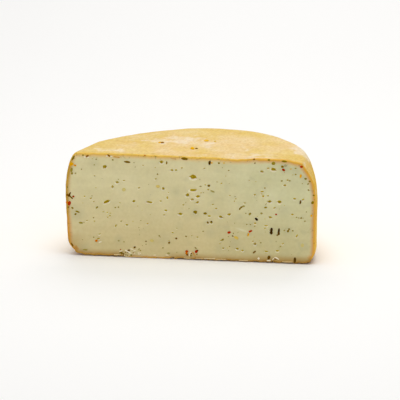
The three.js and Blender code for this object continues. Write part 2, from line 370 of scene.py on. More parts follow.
cutFace = {
    "rindRows": (0.12, 0.3, 0.55, 0.9, 1.3, 1.8, 2.4, 3.2, 4.4, 6.2),  # rows that follow the rind, in mm
    "evening": 6,
    "curl": {"base": 0.5, "side": 0.8, "top": 1.3},  # how far the rind draws back from the knife
    "curlBelow": (4, 16),  # heights between which the base's curl gives way to the side's
    "curlAbove": (84, 97),  # and the side's to the top's
    "curlUneven": 0.7,
    "curlSize": 6,
    "curlSeed": 1.7,
    "curlBack": 40,  # how far behind the cut it ends
    "spacing": 1.9,
    "rowGap": 0.6,  # between the last row and the points inside it, of the spacing
    "jitter": 0.3,
    "waver": 0.22,  # how far the knife wandered
    "waverSize": 16,
    "waverSeed": 3.1,
    "waverFrom": (2, 10),  # depth inside the rind where it starts
    "rindThickness": {"top": 2.0, "base": 1.0, "left": 1.85, "right": 1.9},
    "reach": 8,  # points this near the cut's plane belong to it
    "ahead": 3,  # flakes are let down on the cut from this far in front
    "seed": 11,
}


def unevenness(x, z, kind):
    size = cutFace[kind + "Size"]
    return noise.noise(Vector((x / size, cutFace[kind + "Seed"], z / size)))


def rindCurl(x, z):
    curl = cutFace["curl"]
    level = curl["base"] + (curl["side"] - curl["base"]) * smooth(z, cutFace["curlBelow"])
    level += (curl["top"] - curl["side"]) * smooth(z, cutFace["curlAbove"])
    return level * (1 + cutFace["curlUneven"] * unevenness(x, z, "curl"))


def inwardRow(outline, depth):
    along = np.roll(outline, -1, axis=0) - np.roll(outline, 1, axis=0)
    inward = np.stack([-along[:, 1], along[:, 0]], axis=1)
    inward /= np.linalg.norm(inward, axis=1, keepdims=True)
    for _ in range(cutFace["evening"]):  # a crinkled outline would cross itself if not evened out
        inward = (np.roll(inward, 1, axis=0) + inward + np.roll(inward, -1, axis=0)) / 3
    return outline + inward * depth


def reachOutline(points, outline):
    # distance of each point from the outline, and which piece of the outline is nearest
    best = np.full(len(points), np.inf)
    nearest = np.zeros(len(points), dtype=int)
    for i, (start, run) in enumerate(zip(outline, np.roll(outline, -1, axis=0) - outline)):
        share = np.clip((points - start) @ run / max(run @ run, 1e-12), 0, 1)
        reach = np.linalg.norm(points - start - share[:, None] * run, axis=1)
        nearest[reach < best] = i
        best = np.minimum(best, reach)
    return best, nearest


def fillPoints(outline):
    rng = np.random.default_rng(cutFace["seed"])
    step = cutFace["spacing"]
    half = wheel["cutLength"] / 2
    xs, zs = np.meshgrid(np.arange(-half, half, step), np.arange(0, wheel["height"], step))
    points = np.stack([xs.ravel(), zs.ravel()], axis=1)
    points += rng.uniform(-1, 1, points.shape) * cutFace["jitter"] * step
    reach, _ = reachOutline(points, outline)
    return points[reach > cutFace["rindRows"][-1] + step * cutFace["rowGap"]]


def buildHalfWheel(rindSkin, cutPaste):
    grid = turnRind(rindSkin)
    columns, rows = grid.shape[:2]
    verts = [grid[0, 0], grid[0, -1]] + list(grid[:, 1:-1].reshape(-1, 3))

    def at(column, row):  # the first and the last row are single points
        if row in (0, rows - 1):
            return int(row > 0)
        return 2 + column * (rows - 2) + row - 1

    faces, kinds = [], []
    for column in range(columns - 1):
        for row in range(rows - 1):
            near, far = column, column + 1
            corners = [at(near, row), at(far, row), at(far, row + 1), at(near, row + 1)]
            faces.append(list(dict.fromkeys(corners)))
            kinds.append(0)

    # the cut, from the middle of the base round to the right
    loop = [at(0, row) for row in range(rows)] + [at(columns - 1, row) for row in range(rows - 2, 0, -1)]
    outline = np.array([verts[i] for i in loop])[:, [0, 2]]
    inner = [inwardRow(outline, depth) for depth in cutFace["rindRows"]] + [fillPoints(outline)]
    flat = [Vector(place) for place in np.concatenate([outline] + inner)]
    edges = [(i, (i + 1) % len(loop)) for i in range(len(loop))]
    insideOnly, merging = 1, 1e-5  # which triangles are kept, and how near points may come, in mm
    filled, _, triangles, origins, _, _ = delaunay_2d_cdt(flat, edges, [], insideOnly, merging)
    places = np.array([list(place) for place in filled])
    reach, nearest = reachOutline(places, outline)
    index = []
    for (x, z), origin, depth, beside in zip(places, origins, reach, nearest):
        onLoop = [i for i in origin if i < len(loop)]
        if onLoop:
            index.append(loop[onLoop[0]])
        else:
            curl = rindCurl(*outline[beside])
            rounding = curl - math.sqrt(max(0, curl ** 2 - max(0, curl - depth) ** 2))
            index.append(len(verts))
            waver = cutFace["waver"] * unevenness(x, z, "waver")
            verts.append((x, rounding + waver * smooth(depth, cutFace["waverFrom"]), z))
    for triangle in triangles:
        faces.append([index[i] for i in triangle])
        kinds.append(1)

    body = newPiece("goat_cheese_half", inFrame(verts), [], faces)
    for material in (rindSkin, cutPaste):
        body.data.materials.append(material)
    body.data.polygons.foreach_set("material_index", kinds)
    return body, outline


def storeRindDepth(body, outline):
    # how deep each point of the cut lies, counted in thicknesses of the rind beside it
    along = np.roll(outline, -1, axis=0) - outline
    across, up = np.stack([along[:, 1], -along[:, 0]]) / np.linalg.norm(along, axis=1)
    facing = {"top": up, "base": -up, "left": -across, "right": across}
    rind = cutFace["rindThickness"]
    thickness = sum(np.maximum(facing[side], 0) ** 2 * rind[side] for side in rind)
    places = fromAxis(pointsOf(body.data))
    depth = np.zeros(len(places))
    nearCut = places[:, 1] < cutFace["reach"]
    reach, nearest = reachOutline(places[nearCut][:, [0, 2]], outline)
    depth[nearCut] = reach / thickness[nearest]
    storeOnPoints(body.data, "rindDepth", depth)


# Lumps on points: eyes, herb flakes, pepper flakes and crumbs are all made this way

def lumpsTree():
    tree = bpy.data.node_groups.new("lumps on points", "GeometryNodeTree")
    sockets = addInputs(tree, {
        "Points": "Geometry", "Detail": "Int", "Wobble": "Float", "Wobble Size": "Float",
        "Material": "Material"})
    start = addNode(tree, "NodeGroupInput").outputs
    size = addNode(tree, "GeometryNodeInputNamedAttribute", vectors, {"Name": "lumpSize"})
    turn = addNode(tree, "GeometryNodeInputNamedAttribute", vectors, {"Name": "lumpTurn"})
    rotation = addNode(tree, "FunctionNodeEulerToRotation", None, {"Euler": turn.outputs["Attribute"]})
    ball = addNode(tree, "GeometryNodeMeshIcoSphere", None, {"Radius": 0.5, "Subdivisions": start["Detail"]})
    placed = addNode(tree, "GeometryNodeInstanceOnPoints", None, {
        "Points": start["Points"], "Instance": ball.outputs["Mesh"], "Rotation": rotation,
        "Scale": size.outputs["Attribute"]})
    real = addNode(tree, "GeometryNodeRealizeInstances", None, {"Geometry": placed})
    scale = addNode(tree, "ShaderNodeMath", over, {0: 1.0, 1: start["Wobble Size"]})
    grain = addNode(tree, "ShaderNodeTexNoise", None, {"Scale": scale, "Detail": 1.0})
    centred = addNode(tree, "ShaderNodeVectorMath", minus, {0: grain.outputs["Color"], 1: (0.5, 0.5, 0.5)})
    push = addNode(tree, "ShaderNodeVectorMath", {"operation": "SCALE"}, {
        0: centred, "Scale": start["Wobble"]})
    shaped = addNode(tree, "GeometryNodeSetPosition", None, {"Geometry": real, "Offset": push})
    dressed = addNode(tree, "GeometryNodeSetMaterial", None, {
        "Geometry": shaped, "Material": start["Material"]})
    addNode(tree, "NodeGroupOutput", None, {"Geometry": dressed})
    return tree, sockets


lumps, lumpSockets = lumpsTree()


def makeLumps(name, rows, material, detail, wobble):
    # a row is (place from the axis, outward direction, length, width, thickness, tilt, tint),
    # and wobble is how far the surface wanders and over what size
    points = newPiece(name, inFrame([row[0] for row in rows]), [], [])
    sizes, turns, tints = [], [], []
    for _, outward, length, width, thickness, tilt, tint in rows:
        outward = Vector(outward).normalized()
        level = Vector((0, 0, 1)).cross(outward)
        # a lump that faces almost straight up lies along x
        level = level.normalized() if level.length > 0.1 else Vector((1, 0, 0))
        along = Matrix.Rotation(math.radians(tilt), 3, outward) @ level
        turns += list(Matrix((along, outward.cross(along), outward)).transposed().to_euler())
        sizes += [length * mm, width * mm, thickness * mm]
        tints.append(tint)
    storeOnPoints(points.data, "lumpSize", sizes, "FLOAT_VECTOR", "vector")
    storeOnPoints(points.data, "lumpTurn", turns, "FLOAT_VECTOR", "vector")
    storeOnPoints(points.data, "tint", tints)
    depth, size = wobble
    useTree(points, lumps, lumpSockets, {
        "Detail": detail, "Wobble": depth * mm, "Wobble Size": size * mm, "Material": material})
    return points


# Eyes in the cut, and the breaks torn along its lower edge

eyes = {
    "standOut": [  # along the cut from the axis, height, length, width, tilt in degrees
        (3.5, 81.5, 8, 4.4, 0), (3.5, 68.5, 8.4, 2.6, 2), (-2, 63.5, 4.8, 3.2, -12),
        (8, 62.5, 4.8, 2.7, 8), (7.5, 56.5, 3.6, 2.2, 15), (-9, 44.5, 5.2, 2.6, 4), (-80.5, 54, 8, 3, 25),
        (-82, 88.5, 5, 3, 30), (-54, 55.5, 3.6, 2.2, 8), (-39, 55, 7.2, 2.2, -3), (-27, 95, 4.2, 3, 0),
        (-25.5, 69, 3, 2.8, 0), (30, 43, 4.8, 2.4, 0), (38, 46, 4.4, 2.4, 12), (17.5, 37, 2.6, 2.6, 0),
        (21, 37.5, 3, 2.8, 0), (80, 91.5, 5.8, 3.2, -6), (76.5, 60, 4.4, 2.8, 6), (86, 60, 4.2, 3.2, 0),
        (77.5, 44.5, 4.4, 2, -20), (63, 17.5, 2.8, 2.6, 0), (46, 12, 3.8, 2.2, 0),
    ],
    "paler": [
        (2.5, 59, 4.4, 2, 0), (-70, 73.5, 4.4, 2.4, 5), (-74.5, 69, 4.2, 2.2, 80),
        (-17, 87.5, 4.2, 2, -5), (69, 89, 4.2, 2.2, 0), (91, 76.5, 4.4, 2, 4),
    ],
    "lesser": [
        (-102, 58.5, 2, 1.4, 0), (-80, 43, 2, 1.2, 40), (-77, 42.5, 2, 1.2, 0), (-77.5, 40, 2.2, 1.5, 70),
        (-79.5, 38.5, 2, 1.2, 20), (-66.5, 35, 2.4, 1.2, 10), (-72, 29.5, 2.2, 1.3, 60),
        (-61, 31.5, 3, 1.8, 0), (-28, 56.5, 2.4, 1.7, 0), (-21.5, 60, 3.4, 1.8, 90), (-23, 47.5, 3, 2, 0),
        (-6, 53.5, 2.2, 1.5, 0), (-13, 87.5, 2.5, 2, 0), (-7.5, 90, 2, 1.3, 0), (25.5, 51, 2.4, 1.7, 0),
        (19, 43.5, 3.2, 2, 0), (72, 73, 2, 1.4, 0), (69.5, 69.5, 3.5, 1.5, 10), (62.5, 66, 2.6, 1.6, 0),
        (70.5, 65, 2.5, 2, 80), (75, 92.5, 3, 1.5, 0), (100.5, 63.5, 3.4, 1.9, 0), (63, 38, 2.6, 1.8, 0),
        (73.5, 36, 4, 1.5, 5), (84.5, 11.5, 3.4, 2, 0), (74, 10.5, 4, 1.7, -10), (-93, 53.5, 2, 1.3, 0),
        (-92.5, 34, 2.2, 1.2, 15), (-89, 16.5, 3.4, 1.5, 20), (18, 69.5, 2.2, 1.6, 0),
        (15, 74, 2, 1.5, 0), (30.5, 76, 2.2, 1.3, 50), (11, 66, 1.7, 1.2, 0), (43, 59, 1.6, 1.2, 0),
        (-16.5, 25.5, 2.3, 1.5, 0), (-20, 17.5, 1.8, 1.2, 0), (7.5, 22, 2.2, 1.6, 0),
        (32.5, 12, 2.5, 1.7, 0), (51, 10.5, 2.8, 2, 0), (93.5, 81.5, 2, 1.8, 0), (75, 65.5, 2, 1.4, 0),
        (108.5, 63, 3, 1.8, 30), (98.5, 48, 2.6, 2, 0), (72.5, 33.5, 2.4, 1.2, 0),
        (103, 27, 3.7, 1.8, 60), (61, 20, 1.8, 1.3, 0),
    ],
    "depth": 0.75,  # of the width
    "palerDepth": 0.5,
    "smallDepth": 0.42,
    "lesserDepth": 0.55,
    "mainShare": (0.76, 1.04),  # an eye's main bubble, of its whole length and width
    "lip": (1.18, 1.38, 0.2),  # the lip's length and width, of the eye's, and its drop, of the width: dropped so its pale painted highlight shows mostly below the eye
    "lipDepth": 0.5,  # of the eye's width
    "sideReach": (0.24, 0.34),  # side bubbles: how far from the middle, of the length
    "sideDrift": 0.2,  # and off the eye's own line, of the width
    "sideLength": (0.36, 0.5),
    "sideWidth": (0.28, 0.46),
    "sideTilt": 25,
    "sideDepth": 1,
    "small": 30,
    "smallLength": (1.6, 3.0),
    "smallFlatness": 0.6,
    "smallTilt": 40,
    "field": ((-104, 104), (12, 92)),
    "steps": (0.7548777, 0.569841, 0.618034),  # irrational steps spread the small ones evenly
    "spacing": 4,
    "pinholes": 20,
    "pinholeField": ((-104, 104), (7, 96)),
    "pinholeLength": (0.8, 1.3),
    "pinholeFlatness": (0.5, 0.9),
    "pinholeTilt": 40,
    "pinholeSpacing": 2,
    "wobbleSize": 2.2,
    "sharpAngle": 38,  # edges bent more than this stay crisp
    "seed": 5,
}
torn = {
    "breaks": [  # as for eyes, where the knife left the base's edge ragged
        (-65, -0.4, 6.4, 3, 15), (-31, -0.6, 3.4, 1.8, 0), (-17, 0, 5, 2.4, 20), (-4, 0, 3.4, 1.8, -10),
        (31, 0.2, 3.2, 1.8, 0),
    ],
    "pits": [
        (-66.5, 4.6, 2.6, 1.5, 20), (-60, 4, 2.4, 1.5, -20), (-54.5, 4, 2, 1.3, 0), (82.5, 3.4, 3.6, 1.5, 0),
    ],
}


def sideBubbles(rng, side):
    # a real eye is a few bubbles run together: these grow from one end of each large eye
    rows = []
    for x, z, length, width, tilt in eyes["standOut"]:
        reach = side * length * rng.uniform(*eyes["sideReach"])
        drift = width * rng.uniform(-eyes["sideDrift"], eyes["sideDrift"])
        cosine, sine = math.cos(math.radians(tilt)), math.sin(math.radians(tilt))
        sideX, sideZ = x + reach * cosine - drift * sine, z + reach * sine + drift * cosine
        sideLength = length * rng.uniform(*eyes["sideLength"])
        sideWidth = width * rng.uniform(*eyes["sideWidth"])
        sideTilt = tilt + rng.uniform(-eyes["sideTilt"], eyes["sideTilt"])
        rows.append((sideX, sideZ, sideLength, sideWidth, sideTilt))
    return rows


def clearOf(others, x, z, spacing):
    return all(math.hypot(x - eye[0], z - eye[1]) > eye[2] / 2 + spacing for eye in others)


def smallEyes():
    (left, right), (low, high) = eyes["field"]
    least, most = eyes["smallLength"]
    large = eyes["standOut"] + eyes["paler"]
    rows = []
    i = 0
    while len(rows) < eyes["small"]:
        i += 1
        shareX, shareZ, shareSize = [i * step % 1 for step in eyes["steps"]]
        x, z = left + (right - left) * shareX, low + (high - low) * shareZ
        length = least + (most - least) * shareSize
        tilt = eyes["smallTilt"] * (2 * shareSize - 1)
        if clearOf(large, x, z, eyes["spacing"]):
            rows.append((x, z, length, length * eyes["smallFlatness"], tilt))
    return rows


def pinholes(rng, others):
    acrossField, upField = eyes["pinholeField"]
    most = eyes["pinholeTilt"]
    rows = []
    while len(rows) < eyes["pinholes"]:
        x, z = rng.uniform(*acrossField), rng.uniform(*upField)
        length = rng.uniform(*eyes["pinholeLength"])
        if clearOf(others + rows, x, z, eyes["pinholeSpacing"]):
            width = length * rng.uniform(*eyes["pinholeFlatness"])
            rows.append((x, z, length, width, rng.uniform(-most, most)))
    return rows


def resized(rows, longer, wider, drop=0):
    return [(x, z - width * drop, length * longer, width * wider, tilt) for x, z, length, width, tilt in rows]


def openEyes(body, wall, paleWall, lip, tornWall):
    rng = np.random.default_rng(eyes["seed"])
    small, large = smallEyes(), eyes["standOut"] + eyes["paler"]
    fine = eyes["lesser"] + pinholes(rng, large + eyes["lesser"] + small)
    lipDepth = eyes["lipDepth"] / eyes["lip"][1] / 2
    groups = [  # rows, detail of a bubble, its wobble, its depth of the width, and the wall it leaves
        # the lips are painted pale as a highlight below each eye
        (resized(large, *eyes["lip"]), 2, 0.5, lipDepth, lip),
        (resized(small, *eyes["lip"]), 2, 0.4, lipDepth, lip),
        (resized(eyes["lesser"], *eyes["lip"]), 2, 0.4, lipDepth, lip),
        (resized(eyes["standOut"], *eyes["mainShare"]), 3, 1.5, eyes["depth"], wall),
        (sideBubbles(rng, -1), 2, 0.5, eyes["sideDepth"], wall),
        (sideBubbles(rng, 1), 2, 0.5, eyes["sideDepth"], wall),
        (resized(eyes["paler"], *eyes["mainShare"]), 3, 1.2, eyes["palerDepth"], paleWall),
        (small, 2, 0.5, eyes["smallDepth"], paleWall),
        (fine, 2, 0.4, eyes["lesserDepth"], wall),
        (torn["breaks"] + torn["pits"], 3, 1.0, eyes["depth"], tornWall),
    ]
    cutters = []
    for rows, detail, wobble, depth, material in groups:
        places = [((x, 0, wheel["cutBase"] + z), (0, -1, 0), length, width, 2 * depth * width, tilt, 0)
                  for x, z, length, width, tilt in rows]
        cutter = makeLumps("eye_cutter", places, material, detail, (wobble, eyes["wobbleSize"]))
        opening = body.modifiers.new("eyes", "BOOLEAN")
        opening.operation = "DIFFERENCE"
        opening.solver = "MANIFOLD"
        opening.material_mode = "TRANSFER"
        opening.object = cutter
        cutters.append(cutter)
    settle(body)
    for cutter in cutters:
        bpy.data.objects.remove(cutter)
    body.data.set_sharp_from_angle(angle=math.radians(eyes["sharpAngle"]))


# Herb and pepper flakes, and the crumbs that the knife tore from the rind

herbs = {
    "standOut": [  # along the cut, height, length, width, tilt, tint from brown-black through green to faint
        (-60, 94, 6.4, 2.2, -6, 0.3), (-22, 94.5, 3, 1.5, 85, 0.35), (-31, 83, 1.7, 1.5, 0, 0.4),
        (22, 68, 4.6, 1.6, -20, 0.8), (18.5, 73.5, 2.8, 2.3, 10, 0.3), (5.5, 47, 4.2, 3, 5, 0.42),
        (15, 46, 3.6, 2.3, 0, 0.38), (48.3, 51.8, 3, 1.7, 60, 0.42), (49.6, 53.3, 3.2, 1.8, 35, 0.4),
        (51.8, 54.4, 3, 1.6, 5, 0.7), (58, 47, 3.2, 1.8, 45, 0.55), (64.3, 42.1, 4, 2.4, -45, -0.2),
        (69, 48, 2.4, 2, 0, 0.72), (73, 54, 3.2, 1.9, 8, 0.5), (106, 60.5, 4.2, 1.8, 80, 0.15),
        (78.8, 32.2, 4.6, 2.6, 86, 0), (78.5, 29.4, 3.8, 3, 95, 0.04), (85.8, 31.8, 4.8, 2.1, 86, 0.06),
        (85.7, 29, 3.8, 2.4, 95, 0.1), (84.5, 27.2, 2.4, 1.6, 35, 0.3), (94.5, 31.5, 2.6, 2.1, 60, 0.4),
        (95.5, 33.5, 2.2, 1.8, 0, 0.42), (-90, 48, 3.2, 1.5, 45, 0.5), (-72, 48.5, 1.6, 1.3, 0, 0.5),
        (-69, 49, 1.6, 1.3, 0, 0.5), (-109, 43, 4.6, 1.7, -20, 0.46), (-111, 40.5, 2.4, 1.9, 30, 0.38),
        (-106, 32, 4.4, 2.1, -4, 0.62), (-117, 59, 3.2, 2.6, 60, 0.12), (-115, 57, 4.6, 1.7, -40, 0.3),
        (-116.5, 60.5, 4.4, 1.5, 50, 0.2), (-88.5, 16.5, 4, 1.4, 15, 0.42), (-13, 20, 2.2, 2, 0, 0.25),
        (-20, 15.5, 2.7, 1.9, 70, 0.33), (-53.5, 9.5, 2.6, 2, 20, 0.2), (-59.5, 6, 3.2, 2.2, 30, 0.22),
        (80, 97.4, 3.8, 3.4, 20, 0.54), (88.5, 94.5, 2.9, 2.4, 0, 0.4), (88, 80.5, 2.2, 1.6, 0, 0.6),
        (110.5, 83.5, 2.6, 2.1, 0, 0.45), (113, 78.5, 2, 1.4, 30, 0.45), (101.2, 87.4, 1.8, 1.4, 0, 0.65),
        (95.5, 81, 2.2, 1.2, 0, 0.65), (32, 20.5, 2.6, 2, 40, 0.5), (62.5, 9.5, 3.8, 1.7, 45, 0.25),
        (87.5, 16, 1.7, 1.4, 0, 0.7), (-3.5, 22.5, 1.8, 1.5, 0, 0.4), (37.5, 89, 1.4, 1.2, 0, 0.45),
        (107, 45, 2.2, 1.6, 20, 0.45), (-114.2, 84.2, 4.4, 2.4, 80, 0.58),
        (-113.8, 80.8, 2.6, 2, 60, 0.55), (-102, 5, 5, 1.5, 0, 0.65), (-4.8, 99, 6.6, 2.8, -5, 0.3),
        (19.2, 95.9, 4.8, 2.5, 82, 0.07), (28.1, 95.8, 2.2, 1.8, 0, 0.48),
        (-114.8, 9.6, 4.6, 1.6, -60, 0.24), (76.5, 4.6, 4.2, 3, 70, 0.2), (101.4, 3.1, 6, 2.8, 87, 0.12),
        (117.5, 60.5, 3.4, 2.6, 60, 0.42), (-102.8, 99.2, 2, 1.4, 0, 0.4), (-74, 95.5, 1.9, 1.4, 0, 0.48),
        (-90, 95.5, 1.6, 1.2, 0, 0.5), (-92, 90, 1.6, 1.2, 0, 0.75), (-104.6, 85.3, 1.5, 1.1, 0, 0.55),
        (-110.5, 81, 1.6, 1.4, 0, 0.75), (-112.5, 96, 6, 1.9, 62, 0.38), (-53.5, 93.5, 1.8, 1, 0, 0.85),
        (-32.5, 100, 1.5, 1, 0, 0.5), (-118.5, 67, 2, 1.2, 80, 0.6), (-118, 47, 2, 1.6, 60, 0.35),
        (-114, 46.5, 2.6, 1.8, -40, 0.42), (-93.5, 37.5, 1.5, 1.2, 0, 0.4),
        (-93.5, 18, 1.5, 1.2, 0, 0.45), (-69, 15.5, 2, 1.6, 0, 0.85), (-64, 14.5, 1.6, 1.2, 0, 0.7),
        (-42.5, 16, 1.6, 1.3, 0, 0.3), (-42.5, 13, 1.2, 1, 0, 0.4), (-29.5, 22, 1.6, 1.3, 0, 0.6),
        (10.5, 72.5, 2.4, 1.4, 0, 0.85), (13, 28, 1.6, 1.2, 0, 0.55), (41.5, 24.5, 2, 1.5, -40, 0.28),
        (38.5, 14, 1.4, 1.1, 0, 0.6), (-26, 10, 1.6, 1.3, 0, 0.65), (-20.5, 5, 3, 1.6, 0, 0.8),
        (90.2, 100, 5.4, 1.9, -5, 0.42), (91.5, 95.6, 3, 2.6, 0, 0.95), (75.6, 101, 2.6, 1.6, 0, 0.45),
        (62.4, 97, 1.6, 1.2, 60, 0.35), (114.5, 81, 2.2, 1.8, 0, 0.42), (113.5, 72.5, 2, 1.3, -30, 0.5),
        (118.5, 67.5, 2, 1.6, 0, 0.42), (101, 93.3, 2.2, 1.2, 0, 0.6), (54, 47.5, 1.4, 1.1, 0, 0.6),
        (55, 36.5, 1.4, 1.2, 0, 0.5), (58.5, 36.5, 1.4, 1.2, 0, 0.55), (62.5, 35, 1.4, 1.2, 0, 0.75),
        (91, 32, 1.8, 1.2, 0, 0.6), (99, 32, 1.8, 1.3, 0, 0.45), (68.5, 19, 1.5, 1.2, 0, 0.6),
        (102.5, 45.5, 1.6, 1.2, 0, 0.6), (110.5, 42, 1.6, 1.2, 0, 0.6), (7.8, 8.9, 1.5, 1.3, 0, 0.12),
        (6.3, 10.8, 2.4, 1.1, 10, 0.8), (1.8, 5.6, 1.6, 1.4, 0, 0.2), (1.3, 3.4, 2, 1.7, 0, 0.5),
        (6.9, 4.9, 2, 1.4, 0, 0.7), (-67.2, 3, 4, 2.2, 20, 0.36), (-64.6, 2.2, 2.6, 1.6, -60, 0.26),
        (-62.3, 4.2, 1.6, 1, 0, 0.38), (-62.4, 1.2, 1.4, 1.2, 0, 0.32), (-60.6, 1.1, 1.4, 1.2, 0, 0.34),
        (-56.9, 1.5, 2, 1.6, 0, 0.5), (-47.9, 6.6, 1.5, 1.2, 0, 0.62),
    ],
    "inEyes": [(17.5, 37, 1.9, 1.7, 0, 0.22), (21, 37.5, 2.1, 1.9, 0, 0.2)],  # at the bottom of two eyes
    "eyeDepth": 1.8,
    "onTop": [(2.1, 32.6, 3, 3.8, 1.6, 10, 0.28)],  # x, y, length, width, thickness, tilt, tint
    "fine": 50,
    "fineLength": (0.7, 1.5),
    "fineFlatness": (0.5, 0.95),
    "fineTilt": 60,
    "fineTint": (0.45, 0.95),
    "field": ((-112, 114), (6, 96)),
    "likely": {"anywhere": 0.2, "right": 0.45, "low": 0.35},  # fine ones lie thickest low on the right
    "likelyRight": (-40, 90),
    "likelyLow": (90, 20),
    "inRind": 34,
    "rindAngles": (0.13, 0.87),  # of half a turn, from the right end of the cut
    "rindHeights": (8, 92),
    "rindLength": (1.2, 3.4),
    "rindFlatness": (0.4, 0.8),
    "rindTint": (0.2, 0.8),
    "thickness": 0.4,
    "wobble": (0.5, 0.9),  # how far a flake's edge wanders, and over what size
    "fineWobble": (0.4, 0.9),
    "seed": 21,
}
pepper = {
    "standOut": [  # as for herbs, with the tint from brown through red to yellow
        (-113, 58, 2.4, 2.1, 0, 0.1), (-117, 51, 5, 3.2, 75, 0.2), (-119.3, 52, 3.2, 2.2, 80, 0.48),
        (-118.8, 59.4, 2.6, 2, 80, -0.1), (-2.8, 7.5, 3.2, 2.8, 10, 0.28), (-3.2, 5.7, 2.6, 2.4, 0, 0.42),
        (-2.3, 4.3, 2.6, 2.2, 80, -0.1), (6.5, 7.8, 3.8, 2.8, 55, 0.13), (38, 28, 3.6, 2.5, 20, 0.16),
        (58.5, 30, 4.2, 2, 30, 0.2), (56.5, 26.5, 3.6, 1.7, 80, 0.6), (83, 47.5, 2, 1.8, 0, 0.18),
        (89.6, 91.4, 3.4, 2.5, -30, 0.11), (106.5, 95, 3.2, 2.5, 0, 0.24), (-114.4, 90, 5, 3.6, 10, 0.62),
        (-110.8, 88.8, 2.8, 2, -20, 0.56), (-91, 14.5, 3, 2.5, 20, 0.45), (106, 86, 4, 2.2, 80, 0.62),
        (116.5, 47.5, 2.6, 1.8, 80, 0.68), (32.9, 96, 2, 1.4, 0, 0.84), (5.4, 11.6, 1.2, 1.1, 0, -0.1),
        (-42.8, 101.4, 1.5, 1.2, 0, 0.3), (96.5, 92.5, 2.4, 1, 0, 0.75), (-63.5, 66.5, 4, 3.6, 20, 1),
        (-30.5, 71, 4, 3, 0, 0.92), (45, 23, 5, 3, -25, 0.86), (108.5, 18, 4, 3, 80, 1),
        (-98.7, 98.5, 3.4, 1.9, 30, -0.05), (-77.8, 99.6, 3.5, 1.8, -35, -0.05),
        (61.6, 101.4, 2.2, 1.7, 0, -0.05), (21.3, 95.8, 1.8, 1.8, 0, 0.62),
        (-67.4, 6.7, 1.6, 1, 40, 0.08), (-36.5, 17, 4, 3, 0, 0.97),
    ],
    "onTop": [
        (-36.6, 50.2, 3, 5, 2, 0, 0.74), (-34, 50.4, 3.4, 4.8, 2, 0, -0.1), (-1.8, 32, 4, 6.6, 3.2, 14, 0.67),
        (7.5, 62.8, 4.8, 6, 2, 0, 0.76), (16.4, 60.5, 2.4, 3.6, 2, 0, 0.85),
    ],
    "inRind": 14,
    "rindAngles": (0.13, 0.87),  # of half a turn, from the right end of the cut
    "rindHeights": (8, 92),
    "rindLength": (1.2, 3.0),
    "rindFlatness": (0.4, 0.8),
    "rindTint": (0.1, 0.8),
    "thickness": 0.4,
    "wobble": (0.5, 0.9),
    "seed": 33,
}
crumbs = {
    "strips": [  # tint from cream to tan, and the places along the cut and above its base it runs through
        (1, [(-112.4, 8.2), (-110, 5.2)]), (0.9, [(-111.2, 8.8), (-108.4, 5.4)]),
        (1, [(-73, 98.7), (-67.6, 98)]), (0.9, [(-17, 98.8), (-13.2, 98.4)]),
        (0, [(-62.5, 6.2), (-60, 4.9), (-57.5, 3.4)]),
        (0.6, [(-73.5, 1.2), (-70, 1.4), (-67.5, 2.2)]), (0.3, [(-68.2, 4.8), (-65.8, 5.2)]),
        (0.3, [(-55, 5.8), (-52.5, 6.4)]), (0.2, [(-50.2, 4.4), (-49, 2)]),
        (0.2, [(-57.5, 8), (-55, 7.4)]), (0.3, [(-54.2, 3.9), (-53.2, 2.8)]),
        (0.2, [(-48.8, 4), (-47.6, 3.4)]),
        (0.5, [(-64, 0.8), (-63, 0.3), (-61.6, 0.2), (-59.6, 0.4), (-58.5, 1.5)]),
        (0.8, [(-58, 0.3), (-46.4, 0.4)]), (0.25, [(-0.2, 3), (-0.4, 4.7), (0.3, 6.2), (2, 6.9)]),
        (1, [(2, 6.9), (3.7, 6.4), (4.3, 4.6), (5.4, 3.2)]), (0.7, [(-5.3, 0.6), (0.6, 0.8)]),
        (0.75, [(6.1, 0.6), (13, 0.9)]), (0.55, [(14, 1.1), (24.4, 1.3)]), (0.75, [(26, 0.6), (35, 0.8)]),
        (0.65, [(48, 0.5), (56, 0.8)]), (0.7, [(89.8, 0.8), (99, 1)]),
        (0.1, [(65.8, 3.2), (66.5, 4), (67.2, 3.2), (66.5, 2.5)]), (0.2, [(75, 1.4), (78, 1.7)]),
        (0.2, [(80, 2.4), (81, 4)]), (0, [(82.2, 5), (84, 4.6), (86, 3.2)]),
        (0, [(-102, 97.6), (-100.4, 97.4)]), (0, [(-98.6, 97), (-97, 97.4)]),
        (0, [(-80.3, 99.2), (-79, 99)]), (0, [(-76.3, 99), (-74.8, 98.7)]),
        (0.1, [(-88.5, 13), (-86, 13.8)]), (0.3, [(-35, 2.4), (-33, 2.6)]),
        (0.3, [(-23, 3.2), (-21, 2.8)]),
    ],
    "lump": (2.1, 1.2),  # length and width
    "step": 1.1,
    "thickness": 1.5,
    "wobble": (0.6, 1.2),
}


def letDown(body, place):
    # the nearest spot on the cheese, and which way it faces there
    _, spot, outward, _ = body.closest_point_on_mesh(Vector(inFrame(place)))
    return fromAxis(spot), outward


def onCut(body, rows, thickness):
    # let down from just in front of the cut, so one at the edge sits on the rounded rim
    placed = []
    for x, height, length, width, tilt, tint in rows:
        ahead = (x, -cutFace["ahead"], wheel["cutBase"] + height)
        placed.append((*letDown(body, ahead), length, width, thickness, tilt, tint))
    return placed


def inEyes():
    placed = []
    for x, height, length, width, tilt, tint in herbs["inEyes"]:
        spot = (x, herbs["eyeDepth"], wheel["cutBase"] + height)
        placed.append((spot, (0, -1, 0), length, width, herbs["thickness"], tilt, tint))
    return placed


def onTop(body, flakes):
    return [(*letDown(body, (x, y, wheel["height"])), *rest) for x, y, *rest in flakes["onTop"]]


